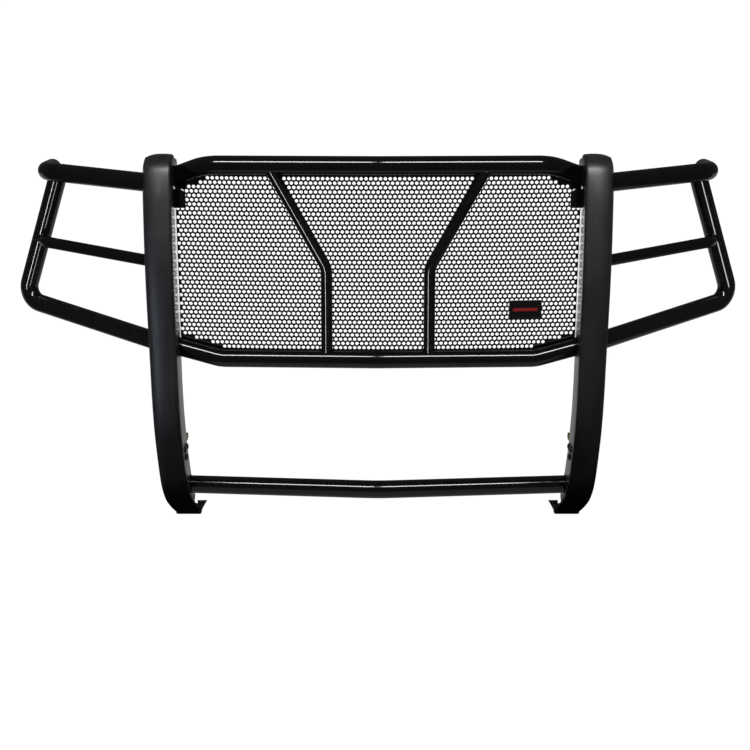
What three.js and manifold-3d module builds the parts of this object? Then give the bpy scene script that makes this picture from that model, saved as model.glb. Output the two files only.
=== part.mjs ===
// Front grille guard for a full-size pickup truck, in millimetres, +Z up, front face towards -Y.
// A welded frame of steel tube hangs between two curved channel uprights with rubber faces. It is bolted through
// fore-and-aft slots to a pair of mounting bracket sets.

import * as THREE from 'three';
import { mergeVertices } from 'three/addons/utils/BufferGeometryUtils.js';
import Module from 'manifold-3d';

const wasm = await Module();
wasm.setup();

// ---------------------------------------------------------------- driving dimensions
const GAP = 0.35;                  // air left between two pieces that touch
const TUBE_RADIUS = 25.4;          // 2 inch main tube
const CROSSBAR_RADIUS = 26.6;      // the bottom crossbar is a little thicker
const TUBE_WALL = 2.6;
const ROD_RADIUS = 15.9;           // 1 1/4 inch struts and middle wing tubes
const ROD_WALL = 2.2;
const TUBE_SIDES = 16;
const BORE_SIDES = 10;

const PLATE_INNER_X = 559;         // channel upright, from its inner side plate...
const PLATE_OUTER_X = 631;         // ...to its outer one
const PLATE = 5;                   // channel plate thickness
const RUBBER = 9;                  // rubber in front of the channel
const RUBBER_LIP = 2.2;            // rubber wrapped round each side
const RUBBER_WRAP = 9;             // how far that wrap runs back

const TOP_Z = 1144;                // grille tubes, by their centre lines
const LOWER_Z = 602;
const BOTTOM_Z = 177;
const TOP_SHOULDER_X = 468;
const LOWER_SHOULDER_X = 441;
const SHOULDER_Y = 77;             // the grille tubes at their shoulders...
const NOSE_Y = 62;                 // ...and at the middle

const SHEET = 2.5;                 // grille sheet thickness
const SHEET_FRONT_Y = 83;          // its front at the middle
const SHEET_BOW = 28;              // how far its ends lie back
const SHEET_HALF = 556;

const SLOT_TRAVEL = 10;            // the guard slides this far each way on its screws
const SCREW_RADIUS = 5;            // M10 screws and bolts
const BOLT_RADIUS = 6;             // M12 long bolt

// ---------------------------------------------------------------- materials
const powderCoat = new THREE.MeshStandardMaterial({ color: 0x0b0b0c, roughness: 0.22, metalness: 0.1 });
const faceRubber = new THREE.MeshStandardMaterial({ color: 0x202124, roughness: 0.62, metalness: 0 });
const blackOxide = new THREE.MeshStandardMaterial({ color: 0x17181a, roughness: 0.45, metalness: 0.6 });
const yellowZinc = new THREE.MeshStandardMaterial({ color: 0xb79a54, roughness: 0.32, metalness: 1 });
const whiteZinc = new THREE.MeshStandardMaterial({ color: 0xb9bcc0, roughness: 0.3, metalness: 1 });
const badgeMetal = new THREE.MeshStandardMaterial({ color: 0x1a1b1d, roughness: 0.4, metalness: 0.3 });

// ---------------------------------------------------------------- solids: joining and cutting
function toManifold(geometry) {
  const bare = geometry.clone();
  bare.deleteAttribute('normal');
  bare.deleteAttribute('uv');
  const merged = mergeVertices(bare, 1e-3);
  return new wasm.Manifold(new wasm.Mesh({
    numProp: 3,
    vertProperties: Float32Array.from(merged.attributes.position.array),
    triVerts: Uint32Array.from(merged.index.array),
  }));
}

function fromManifold(solid) {
  const { vertProperties, triVerts } = solid.getMesh();
  const geometry = new THREE.BufferGeometry();
  geometry.setAttribute('position', new THREE.BufferAttribute(vertProperties, 3));
  geometry.setIndex(new THREE.BufferAttribute(triVerts, 1));
  geometry.computeVertexNormals();
  return geometry;
}

function cut(geometry, ...cutters) {
  return fromManifold(cutters.reduce((rest, cutter) => rest.subtract(toManifold(cutter)), toManifold(geometry)));
}

function join(geometry, ...others) {
  return fromManifold(others.reduce((whole, other) => whole.add(toManifold(other)), toManifold(geometry)));
}

function common(geometry, other) {
  return fromManifold(toManifold(geometry).intersect(toManifold(other)));
}

function box(x0, x1, y0, y1, z0, z1) {
  const geometry = new THREE.BoxGeometry(x1 - x0, y1 - y0, z1 - z0);
  return geometry.translate((x0 + x1) / 2, (y0 + y1) / 2, (z0 + z1) / 2);
}

// The same piece on the other side of the truck's centre line.
function mirrored(geometry) {
  const copy = geometry.index ? geometry.toNonIndexed() : geometry.clone();
  const position = copy.attributes.position;
  const corner = new THREE.Vector3();
  const swap = new THREE.Vector3();
  for (let i = 0; i < position.count; i += 3) {
    corner.fromBufferAttribute(position, i);
    swap.fromBufferAttribute(position, i + 2);
    position.setXYZ(i, swap.x, swap.y, swap.z);
    position.setXYZ(i + 2, corner.x, corner.y, corner.z);
  }
  copy.scale(-1, 1, 1);
  copy.computeVertexNormals();
  return copy;
}

// ---------------------------------------------------------------- bent tubes
// The centre line of a bent tube: straight runs joined by arcs. A ring of the tube falls at each end and along the
// arcs only.
class BentLine extends THREE.Curve {
  constructor(corners, radii, stepAngle = 0.2) {
    super();
    const points = corners.map((corner) => new THREE.Vector3(...corner));
    const firstRun = points[1].clone().sub(points[0]).normalize();
    this.stations = [{ point: points[0], tangent: firstRun }];
    for (let i = 1; i < points.length - 1; i++) {
      this.addBend(points[i - 1], points[i], points[i + 1], radii[i - 1], stepAngle);
    }
    const last = points.length - 1;
    const lastRun = points[last].clone().sub(points[last - 1]).normalize();
    this.stations.push({ point: points[last], tangent: lastRun });
  }

  addBend(before, corner, after, radius, stepAngle) {
    const into = corner.clone().sub(before).normalize();
    const out = after.clone().sub(corner).normalize();
    const angle = into.angleTo(out);
    const setback = radius * Math.tan(angle / 2);
    const start = corner.clone().addScaledVector(into, -setback);
    const axis = into.clone().cross(out).normalize();
    const toCentre = axis.clone().cross(into);
    const centre = start.clone().addScaledVector(toCentre, radius);
    const steps = Math.max(2, Math.ceil(angle / stepAngle));
    for (let k = 0; k <= steps; k++) {
      const turn = (angle * k) / steps;
      const spoke = toCentre.clone().applyAxisAngle(axis, turn);
      const point = centre.clone().addScaledVector(spoke, -radius);
      this.stations.push({ point, tangent: into.clone().applyAxisAngle(axis, turn) });
    }
  }

  get steps() {
    return this.stations.length - 1;
  }

  getPointAt(u) {
    return this.stations[Math.round(u * this.steps)].point.clone();
  }

  getTangentAt(u) {
    return this.stations[Math.round(u * this.steps)].tangent.clone();
  }
}

function ring(radius, sides) {
  return Array.from({ length: sides }, (_, i) => {
    const angle = (2 * Math.PI * (i + 0.5)) / sides;
    return new THREE.Vector2(radius * Math.cos(angle), radius * Math.sin(angle));
  });
}

function sweep(line, shape) {
  const options = { steps: line.steps, extrudePath: line, bevelEnabled: false };
  return new THREE.ExtrudeGeometry(shape, options);
}

function solidTube(line, radius) {
  return sweep(line, new THREE.Shape(ring(radius, TUBE_SIDES)));
}

function hollowTube(line, radius, wall) {
  const shape = new THREE.Shape(ring(radius, TUBE_SIDES));
  shape.holes.push(new THREE.Path(ring(radius - wall, BORE_SIDES)));
  return sweep(line, shape);
}

const betweenUprights = () => {
  const reach = PLATE_INNER_X - GAP;
  return box(-reach, reach, -100, 600, 0, 1300);
};

const outsideUpright = () => box(PLATE_OUTER_X + GAP, 1200, -100, 600, 0, 1300);

// ---------------------------------------------------------------- crossbars and struts
// Each crossbar has a very slight nose at the middle. The grille's two also bend at the shoulders.
function grilleLine(z, shoulderX, endZ, endY) {
  const past = 1.25;
  const runX = PLATE_INNER_X - shoulderX;
  const end = [shoulderX + runX * past, SHOULDER_Y + (endY - SHOULDER_Y) * past, z + (endZ - z) * past];
  return new BentLine([
    [-end[0], end[1], end[2]],
    [-shoulderX, SHOULDER_Y, z],
    [0, NOSE_Y, z],
    [shoulderX, SHOULDER_Y, z],
    end,
  ], [120, 600, 120]);
}

const topLine = grilleLine(TOP_Z, TOP_SHOULDER_X, 1107, 125);
const lowerLine = grilleLine(LOWER_Z, LOWER_SHOULDER_X, 631, 92);
const bottomLine = new BentLine([[-600, 203, BOTTOM_Z], [0, 154, BOTTOM_Z], [600, 203, BOTTOM_Z]], [500]);

const crossTube = (line, radius) => common(hollowTube(line, radius, TUBE_WALL), betweenUprights());

const strutLine = new BentLine([[291, 68, TOP_Z - 12], [142, 66, 862], [143, 66, LOWER_Z + 5]], [70]);

function strut() {
  const rod = hollowTube(strutLine, ROD_RADIUS, ROD_WALL);
  return cut(rod, solidTube(topLine, TUBE_RADIUS + GAP), solidTube(lowerLine, TUBE_RADIUS + GAP));
}

// ---------------------------------------------------------------- grille sheet
// One bowed sheet behind the struts. Its holes, about three thousand, are left to the finished surface.
const BOW_REACH = 548;             // where the bow reaches its full depth
const sheetFrontY = (x) => SHEET_FRONT_Y + SHEET_BOW * (x / BOW_REACH) ** 2;

function grilleSheet() {
  const strips = 24;
  const plan = [];
  for (let i = 0; i <= strips; i++) {
    const x = -SHEET_HALF + (2 * SHEET_HALF * i) / strips;
    plan.push(new THREE.Vector2(x, sheetFrontY(x)));
  }
  const back = plan.map((p) => new THREE.Vector2(p.x, p.y + SHEET)).reverse();
  const bowed = new THREE.ExtrudeGeometry(new THREE.Shape([...plan, ...back]), { depth: 1300, bevelEnabled: false });
  const half = [[SHEET_HALF, 1070], [440, TOP_Z - 20]];
  const halfLow = [[430, LOWER_Z + 20], [SHEET_HALF, 664]];
  const outline = [
    ...half,
    ...half.map(([x, z]) => [-x, z]).reverse(),
    ...halfLow.map(([x, z]) => [-x, z]).reverse(),
    ...halfLow,
  ].map(([x, z]) => new THREE.Vector2(x, z));
  const blank = new THREE.ExtrudeGeometry(new THREE.Shape(outline), { depth: 300, bevelEnabled: false });
  blank.rotateX(Math.PI / 2).translate(0, 300, 0);
  return common(bowed, blank);
}

function cornerTab() {
  const y = sheetFrontY(540) - 4.5;
  const shape = new THREE.Shape([[528, 1022], [556, 1022], [556, 1074], [540, 1074], [528, 1064]]
    .map(([x, z]) => new THREE.Vector2(x, z)));
  const tab = new THREE.ExtrudeGeometry(shape, { depth: 3, bevelEnabled: false });
  return tab.rotateX(Math.PI / 2).translate(0, y + 1.5, 0);
}

function badge() {
  const x = 412;
  const plate = new THREE.BoxGeometry(92, 2.5, 54);
  plate.rotateZ(Math.atan((2 * SHEET_BOW * x) / BOW_REACH ** 2));
  return plate.translate(x, sheetFrontY(x) - 2.4, 737);
}

// ---------------------------------------------------------------- uprights
// The rubber's front face in side view, [y, z], from the crown of the upright down to the foot.
const face = new THREE.SplineCurve([
  [118, 1169], [84, 1168], [44, 1145], [24, 1090], [12, 1010], [2, 900], [0, 800], [4, 700], [9, 600],
  [13, 500], [26, 410], [50, 335], [78, 266], [105, 212], [138, 169], [187, 124], [245, 85], [304, 50], [358, 20],
].map(([y, z]) => new THREE.Vector2(y, z)));

// The face set back by a distance, as points on the way down.
function faceAt(setback, steps = 34) {
  return Array.from({ length: steps + 1 }, (_, i) => {
    const tangent = face.getTangentAt(i / steps);
    const inward = new THREE.Vector2(-tangent.y, tangent.x);
    return face.getPointAt(i / steps).addScaledVector(inward, setback);
  });
}

// A side-view outline, [y, z], made into a slab between two x.
function slab(outline, x0, x1) {
  const shape = new THREE.Shape(outline);
  const slabGeometry = new THREE.ExtrudeGeometry(shape, { depth: x1 - x0, bevelEnabled: false });
  const turn = new THREE.Matrix4().makeBasis(
    new THREE.Vector3(0, 1, 0), new THREE.Vector3(0, 0, 1), new THREE.Vector3(1, 0, 0),
  );
  return slabGeometry.applyMatrix4(turn).translate(x0, 0, 0);
}

// The channel's rear edge, [y, z], from the foot up to the ear that carries the top tube.
const REAR_EDGE = [
  [262, 90], [286, 98], [292, 114], [222, 203], [165, 314], [130, 432], [120, 520], [118, 1005], [128, 1025],
  [184, 1040], [195, 1060], [195, 1115], [187, 1140], [166, 1156],
].map(([y, z]) => new THREE.Vector2(y, z));

const SLOTS = [[136, 318], [120, 292], [100, 321]];    // [y, z] of the three screws
const SLOT_HALF = SCREW_RADIUS + 1;

function slotCutter([y, z]) {
  const shape = new THREE.Shape();
  shape.absarc(y + SLOT_TRAVEL, z, SLOT_HALF, -Math.PI / 2, Math.PI / 2);
  shape.absarc(y - SLOT_TRAVEL, z, SLOT_HALF, Math.PI / 2, -Math.PI / 2);
  return slab(shape.getPoints(5).slice(0, -1), PLATE_INNER_X - 10, PLATE_INNER_X + 12);
}

function upright() {
  const inside = faceAt(RUBBER + PLATE);
  const sole = inside.filter((p) => p.x > REAR_EDGE[0].x + 6 && p.y < REAR_EDGE[0].y).reverse();
  const whole = slab([...faceAt(RUBBER), ...sole, ...REAR_EDGE], PLATE_INNER_X, PLATE_OUTER_X);
  const hollow = slab(
    [...inside, new THREE.Vector2(700, -200), new THREE.Vector2(700, 1153), new THREE.Vector2(120, 1153)],
    PLATE_INNER_X + PLATE, PLATE_OUTER_X - PLATE,
  );
  return cut(whole, hollow, ...SLOTS.map(slotCutter));
}

function rubberStrip() {
  const outside = faceAt(0);
  const wrap = slab([...outside, ...faceAt(RUBBER + RUBBER_WRAP).reverse()],
    PLATE_INNER_X - RUBBER_LIP, PLATE_OUTER_X + RUBBER_LIP);
  const seat = slab([...faceAt(RUBBER - GAP), new THREE.Vector2(700, 20), new THREE.Vector2(700, 1160)],
    PLATE_INNER_X - GAP, PLATE_OUTER_X + GAP);
  return cut(wrap, seat, solidTube(wingTopLine, TUBE_RADIUS + GAP), solidTube(wingLoopLine, TUBE_RADIUS + GAP));
}

// A curled lip closes the lower end of the channel.
function footLip() {
  const outline = [[359.4, 18.2], [376, 9], [392, 6], [407, 12], [414, 27], [412, 43], [405, 43], [406, 29],
    [400, 18], [390, 13], [379, 15.5], [362.4, 25]];
  const lip = slab(outline.map(([y, z]) => new THREE.Vector2(y, z)), 538, PLATE_OUTER_X);
  const flare = new THREE.ExtrudeGeometry(new THREE.Shape([
    new THREE.Vector2(500, -20), new THREE.Vector2(563, -20), new THREE.Vector2(556, 12), new THREE.Vector2(538, 44),
    new THREE.Vector2(538, 80), new THREE.Vector2(500, 80),
  ]), { depth: 200, bevelEnabled: false });
  return cut(lip, flare.rotateX(Math.PI / 2).translate(0, 500, 0));
}

// ---------------------------------------------------------------- wings
const LOOP_TOP = [901, 228, 1095];

const wingTopLine = new BentLine([
  [600, 44, 1099], [919, 154, 1116], [923, 262, 1111],
], [46]);

const wingLoopLine = new BentLine([
  [600, 38, 657], [1018, 228, 739], LOOP_TOP,
], [47]);

const wingMiddleLine = new BentLine([
  [600, 42, 883], [934, 158, 918], [950, 215, 916],
], [30]);

const wingTopTube = () => common(hollowTube(wingTopLine, TUBE_RADIUS, TUBE_WALL), outsideUpright());

function wingLoopTube() {
  const tube = common(hollowTube(wingLoopLine, TUBE_RADIUS, TUBE_WALL), outsideUpright());
  return cut(tube, solidTube(wingTopLine, TUBE_RADIUS + GAP));
}

function wingMiddleTube() {
  const tube = common(hollowTube(wingMiddleLine, ROD_RADIUS, ROD_WALL), outsideUpright());
  return cut(tube, solidTube(wingLoopLine, TUBE_RADIUS + GAP));
}

// ---------------------------------------------------------------- fasteners, all along +X from the origin
function drum(radius, x0, x1, sides) {
  const cylinder = new THREE.CylinderGeometry(radius, radius, x1 - x0, sides);
  return cylinder.rotateZ(Math.PI / 2).translate((x0 + x1) / 2, 0, 0);
}

const HEX = 6;
const ROUND = 12;
const WASHER = 2;

const screw = (shank) => join(drum(9, -5, 0.001, ROUND), drum(SCREW_RADIUS - 0.2, 0, shank, ROUND));
const hexBolt = (radius, shank) => join(drum(radius * 1.75, -radius * 1.2, 0.001, HEX),
  drum(radius - 0.2, 0, shank, ROUND));
const nut = (radius) => cut(drum(radius * 1.75, 0, radius * 1.6, HEX), drum(radius, -1, radius * 2, ROUND));
const washer = (radius, outer) => cut(drum(outer, 0, WASHER, ROUND), drum(radius + 0.3, -1, 3, ROUND));

function at(geometry, ...matrices) {
  const placed = geometry.clone();
  matrices.forEach((matrix) => placed.applyMatrix4(matrix));
  return placed;
}

const move = (x, y, z) => new THREE.Matrix4().makeTranslation(x, y, z);
const upright90 = new THREE.Matrix4().makeRotationY(-Math.PI / 2);     // turns +X up to +Z

// ---------------------------------------------------------------- mounting brackets
const BRACKET = 6;
const BRACKET_X = PLATE_INNER_X + PLATE + GAP;          // inboard face, inside the channel
const BRACKET_OUT_X = BRACKET_X + BRACKET;
const BRACKET_Z = [281, 337];
const BEND_Y = 192;
const BEND_ANGLE = 0.2;
const TAIL = 82;
const BRACKET_FRONT_Y = 86;

// The bracket's tail frame: y runs back along the tail, x points out of its outboard face.
const tailFrame = new THREE.Matrix4().makeRotationZ(-BEND_ANGLE).premultiply(move(BRACKET_OUT_X, BEND_Y, 0));

const TAIL_HOLES = [[20, 326], [20, 292], [52, 308]];   // [y, z] in the tail frame
const WEB = 5;                                          // lower bracket thickness
const FLANGE_Z = 250;
const LONG_BOLT_AT = [26, 34];                          // [x, y] in the tail frame
const BRACE = 4;

const acrossX = (radius, [y, z]) => at(drum(radius, -20, 20, ROUND), move(0, y, z));

function longBracket() {
  const tail = at(box(-BRACKET, 0, -1, TAIL, ...BRACKET_Z), tailFrame);
  const body = join(box(BRACKET_X, BRACKET_OUT_X, BRACKET_FRONT_Y, BEND_Y + 1, ...BRACKET_Z), tail);
  const holes = SLOTS.map((hole) => at(acrossX(SCREW_RADIUS + 0.3, hole), move(BRACKET_X, 0, 0)));
  const tailHoles = TAIL_HOLES.map((hole) => at(acrossX(SCREW_RADIUS + 0.3, hole), tailFrame));
  const chamfer = slab([[80, 332], [70, 276], [113, 276]].map(([y, z]) => new THREE.Vector2(y, z)),
    BRACKET_X - 1, BRACKET_OUT_X + 1);
  return cut(body, ...holes, ...tailHoles, chamfer);
}

function lowerBracket() {
  const web = box(GAP, GAP + WEB, 4, 64, FLANGE_Z, 334);
  const flange = box(GAP, 46, 4, 64, FLANGE_Z, FLANGE_Z + WEB);
  const holes = TAIL_HOLES.map((hole) => acrossX(SCREW_RADIUS + 0.3, hole));
  const floorHole = at(drum(BOLT_RADIUS + 0.3, -20, 20, ROUND), upright90, move(...LONG_BOLT_AT, FLANGE_Z));
  return at(cut(join(web, flange), ...holes, floorHole), tailFrame);
}

// A flat bar with a bent tab at each end, from the lowest slot screw up to the tail's rearmost bolt.
function brace() {
  const plan = [
    [GAP, 106], [GAP, 132], [11, 150], [12, 215], [12.9, 226.1], [19.3, 257.5],
    [23.2, 256.7], [16.8, 225.4], [16, 214], [15, 148.5], [GAP + BRACE, 129.5], [GAP + BRACE, 106],
  ].map(([x, y]) => new THREE.Vector2(BRACKET_OUT_X + x, y));
  const [, [frontY, frontZ]] = SLOTS;
  const width = 22;
  const bar = new THREE.ExtrudeGeometry(new THREE.Shape(plan), { depth: width, bevelEnabled: false });
  const slope = (TAIL_HOLES[2][1] - frontZ) / (243 - frontY);
  bar.applyMatrix4(new THREE.Matrix4().makeShear(0, 0, 0, slope, 0, 0));
  bar.translate(0, 0, frontZ - width / 2 - slope * frontY);
  const tailHole = at(acrossX(SCREW_RADIUS + 0.3, TAIL_HOLES[2]), tailFrame);
  const frontHole = at(acrossX(SCREW_RADIUS + 0.3, SLOTS[1]), move(BRACKET_OUT_X, 0, 0));
  return cut(bar, frontHole, tailHole);
}

// ---------------------------------------------------------------- assembly
const assembly = new THREE.Group();
const guard = new THREE.Group();
assembly.add(guard);

function add(name, geometry, material) {
  const mesh = new THREE.Mesh(geometry, material);
  mesh.name = name;
  guard.add(mesh);
}

function addPair(name, geometry, material) {
  add(`${name}_right`, geometry, material);
  add(`${name}_left`, mirrored(geometry), material);
}

add('top_tube', crossTube(topLine, TUBE_RADIUS), powderCoat);
add('lower_tube', crossTube(lowerLine, TUBE_RADIUS), powderCoat);
add('bottom_crossbar', crossTube(bottomLine, CROSSBAR_RADIUS), powderCoat);
add('grille_sheet', grilleSheet(), powderCoat);
add('badge_plate', badge(), badgeMetal);
addPair('strut', strut(), powderCoat);
addPair('corner_tab', cornerTab(), powderCoat);
addPair('upright', upright(), powderCoat);
addPair('rubber_strip', rubberStrip(), faceRubber);
addPair('foot_lip', footLip(), faceRubber);
addPair('wing_top_tube', wingTopTube(), powderCoat);
addPair('wing_loop_tube', wingLoopTube(), powderCoat);
addPair('wing_middle_tube', wingMiddleTube(), powderCoat);

addPair('long_bracket', longBracket(), powderCoat);
addPair('lower_bracket', lowerBracket(), powderCoat);
addPair('brace', brace(), powderCoat);

// Slot screws: head and washer on the channel's inner side, nut on the bracket, or on the brace's tab.
const washerX = PLATE_INNER_X - GAP - WASHER;
SLOTS.forEach(([y, z], i) => {
  const nutX = BRACKET_OUT_X + GAP + (i === 1 ? BRACE + GAP : 0);
  addPair(`slot_screw_${i + 1}`, at(screw(nutX + 11 - washerX), move(washerX - GAP, y, z)), blackOxide);
  addPair(`slot_washer_${i + 1}`, at(washer(SCREW_RADIUS, 10.5), move(washerX, y, z)), blackOxide);
  addPair(`slot_nut_${i + 1}`, at(nut(SCREW_RADIUS), move(nutX, y, z)), whiteZinc);
});

// Tail bolts hold the lower bracket, and the rearmost one the brace too.
[TAIL_HOLES[0], TAIL_HOLES[2]].forEach(([y, z], i) => {
  const nutX = WEB + 2 * GAP + (i === 1 ? BRACE + GAP : 0);
  const boltX = -BRACKET - GAP;
  addPair(`tail_bolt_${i + 1}`, at(hexBolt(SCREW_RADIUS, nutX + 12 - boltX), move(boltX, y, z), tailFrame), yellowZinc);
  addPair(`tail_nut_${i + 1}`, at(nut(SCREW_RADIUS), move(nutX, y, z), tailFrame), whiteZinc);
});

// The long bolt stands in the flange's hole and clamps the truck's frame horn between flange and nut.
const longBolt = at(hexBolt(BOLT_RADIUS, 92), upright90, move(...LONG_BOLT_AT, FLANGE_Z - GAP), tailFrame);
const longNut = at(nut(BOLT_RADIUS), upright90, move(...LONG_BOLT_AT, FLANGE_Z + 74), tailFrame);
addPair('frame_bolt', longBolt, yellowZinc);
addPair('frame_nut', longNut, whiteZinc);

// The origin is the middle of the whole object's underside.
const bounds = new THREE.Box3().setFromObject(guard, true);
const middle = bounds.getCenter(new THREE.Vector3());
guard.position.set(-middle.x, -middle.y, -bounds.min.z);

export default assembly;
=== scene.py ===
# %% [markdown]
# # A front grille guard for a pickup truck
#
# The real object is a welded frame of bent steel tube. It hangs between two curved channel uprights with moulded
# rubber faces, and a bowed sheet of perforated steel fills the middle. Headlamp wings stand out at each side, and
# bolt-on brackets inside the uprights carry it all on the truck's frame.
#
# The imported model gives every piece's place and size. This lesson rebuilds each of its surfaces finely, in the same
# places, in the drawing's millimetres, and turns the result into metres at the very end.

# %% Load the frame
import math

import bmesh
import bpy
import numpy as np
from mathutils import Matrix, Vector


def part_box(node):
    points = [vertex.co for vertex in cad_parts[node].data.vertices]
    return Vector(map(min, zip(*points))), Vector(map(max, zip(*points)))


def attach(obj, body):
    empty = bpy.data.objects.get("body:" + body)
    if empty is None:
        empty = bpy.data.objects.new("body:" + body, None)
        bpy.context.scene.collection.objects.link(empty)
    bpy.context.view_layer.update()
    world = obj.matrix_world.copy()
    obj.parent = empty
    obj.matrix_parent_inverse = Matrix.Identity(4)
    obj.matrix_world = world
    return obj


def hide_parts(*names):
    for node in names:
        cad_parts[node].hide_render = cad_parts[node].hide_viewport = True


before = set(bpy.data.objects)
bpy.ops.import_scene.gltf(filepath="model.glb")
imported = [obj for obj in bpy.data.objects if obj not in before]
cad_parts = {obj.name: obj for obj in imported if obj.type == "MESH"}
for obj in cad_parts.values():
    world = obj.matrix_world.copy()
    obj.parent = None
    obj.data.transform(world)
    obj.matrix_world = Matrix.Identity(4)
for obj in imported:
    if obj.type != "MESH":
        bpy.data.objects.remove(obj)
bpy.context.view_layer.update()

# %% [markdown]
# ## The drawing and the frame
#
# The guard is drawn in millimetres with its own zero: the rubber's foremost line is y = 0. Two edges of the grille
# sheet are known in both systems, so they give the step from the drawing to the frame.

# %% Step from the drawing to the frame
SHEET_FRONT_Y = 83.0
SHEET_TOP_Z = 1124.0
MILLIMETRE = 0.001

sheet_low, sheet_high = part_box("grille_sheet")
drawing_zero = Vector((0, sheet_low.y - SHEET_FRONT_Y * MILLIMETRE, sheet_high.z - SHEET_TOP_Z * MILLIMETRE))
TO_FRAME = Matrix.Translation(drawing_zero) @ Matrix.Scale(MILLIMETRE, 4)
print("drawing zero in the frame", [round(v, 5) for v in drawing_zero])

# %% [markdown]
# ## Camera
#
# A long lens from a little above the top tube, tilted down: the verticals lean in only slightly, and the three
# crossbars show their upper sides.

# %% Camera
camera = bpy.data.objects.new("camera", bpy.data.cameras.new("camera"))
camera.location = (-0.0085, -3.855, 1.639)
camera.rotation_euler = (math.radians(90 - 16.35), 0, 0)
camera.data.lens = 66.0
camera.data.sensor_width = 36.0
bpy.context.scene.collection.objects.link(camera)
bpy.context.scene.camera = camera
bpy.context.scene.view_settings.view_transform = "Standard"
print("camera at", tuple(camera.location))

# %% [markdown]
# ## Finishes
#
# Each finish is a small tree of nodes around one Principled shader. Noise in the piece's own Object coordinates
# varies colour and roughness, and a finer noise goes to a Bump node, so that the pattern stays on the piece from
# every side. A number that is the same all over is set on the shader itself.

# %% A helper that grows a finish
def new_finish(name, roughness, metallic=0.0, specular=0.5, coat=0.0, coat_roughness=0.05):
    material = bpy.data.materials.new(name)
    material.use_nodes = True
    shader = material.node_tree.nodes["Principled BSDF"]
    shader.inputs["Roughness"].default_value = roughness
    shader.inputs["Metallic"].default_value = metallic
    shader.inputs["Specular IOR Level"].default_value = specular
    shader.inputs["Coat Weight"].default_value = coat
    shader.inputs["Coat Roughness"].default_value = coat_roughness
    return material, material.node_tree, shader


def object_noise(tree, scale, detail=3.0, stretch=(1, 1, 1)):
    coordinate = tree.nodes.new("ShaderNodeTexCoord")
    mapping = tree.nodes.new("ShaderNodeMapping")
    mapping.inputs["Scale"].default_value = stretch
    noise = tree.nodes.new("ShaderNodeTexNoise")
    noise.inputs["Scale"].default_value = scale
    noise.inputs["Detail"].default_value = detail
    tree.links.new(coordinate.outputs["Object"], mapping.inputs["Vector"])
    tree.links.new(mapping.outputs["Vector"], noise.inputs["Vector"])
    return noise.outputs["Fac"]


def blend_colours(tree, shader, factor, dark, light, low=0.35, high=0.65):
    ramp = tree.nodes.new("ShaderNodeValToRGB")
    ramp.color_ramp.elements[0].position = low
    ramp.color_ramp.elements[0].color = (*dark, 1)
    ramp.color_ramp.elements[1].position = high
    ramp.color_ramp.elements[1].color = (*light, 1)
    tree.links.new(factor, ramp.inputs["Fac"])
    tree.links.new(ramp.outputs["Color"], shader.inputs["Base Color"])


def vary_roughness(tree, shader, factor, smooth, rough):
    spread = tree.nodes.new("ShaderNodeMapRange")
    spread.inputs["To Min"].default_value = smooth
    spread.inputs["To Max"].default_value = rough
    tree.links.new(factor, spread.inputs["Value"])
    tree.links.new(spread.outputs["Result"], shader.inputs["Roughness"])


def add_bump(tree, shader, height, strength, depth):
    bump = tree.nodes.new("ShaderNodeBump")
    bump.inputs["Strength"].default_value = strength
    bump.inputs["Distance"].default_value = depth
    tree.links.new(height, bump.inputs["Height"])
    tree.links.new(bump.outputs["Normal"], shader.inputs["Normal"])


# %% [markdown]
# Powder coat is sprayed as dust and melted in an oven. It flows into a glossy skin with a faint orange peel a few
# millimetres across, which is what breaks up a reflected lamp on a real tube. The brackets have the same coat with
# less gloss.

# %% Powder coat, glossy and satin
def powder_coat(name, base, smooth, rough, peel):
    material, tree, shader = new_finish(name, smooth)
    cloud = object_noise(tree, 14.0)
    blend_colours(tree, shader, cloud, [0.8 * v for v in base], [1.25 * v for v in base])
    vary_roughness(tree, shader, object_noise(tree, 60.0), smooth, rough)
    add_bump(tree, shader, object_noise(tree, 160.0, 1.0), peel, 0.0004)
    return material


gloss_black = powder_coat("gloss_black_powder_coat", (0.0028, 0.0028, 0.0031), 0.09, 0.12, 0.002)
satin_black = powder_coat("satin_black_powder_coat", (0.0050, 0.0050, 0.0055), 0.28, 0.38, 0.06)
print("powder coats made")

# %% [markdown]
# The uprights' faces are moulded rubber: dull and slightly blue-grey, with a fine leathery grain from the mould and
# cloudy patches where the bloom has been rubbed off by hands.

# %% Moulded rubber
def moulded_rubber():
    material, tree, shader = new_finish("moulded_rubber", 0.5, specular=0.5)
    cloud = object_noise(tree, 22.0, 4.0, (1, 1, 0.35))
    blend_colours(tree, shader, cloud, (0.0075, 0.0076, 0.0085), (0.0125, 0.0126, 0.0140))
    vary_roughness(tree, shader, object_noise(tree, 35.0, 3.0, (1, 1, 0.4)), 0.37, 0.44)
    add_bump(tree, shader, object_noise(tree, 900.0, 2.0), 0.16, 0.0004)
    return material


face_rubber = moulded_rubber()
print("rubber made")

# %% [markdown]
# Fasteners are plated. Zinc grows in tiny spangles, clear on the nuts and passivated yellow on the bolts, and the
# slot screws have the dark, oily film of black oxide.

# %% Plated and oxidised steel
def plated_steel(name, dark, light, smooth, rough, metallic):
    material, tree, shader = new_finish(name, smooth, metallic=metallic)
    blend_colours(tree, shader, object_noise(tree, 300.0), dark, light)
    vary_roughness(tree, shader, object_noise(tree, 120.0), smooth, rough)
    add_bump(tree, shader, object_noise(tree, 2200.0, 2.0), 0.10, 0.0002)
    return material


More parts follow.
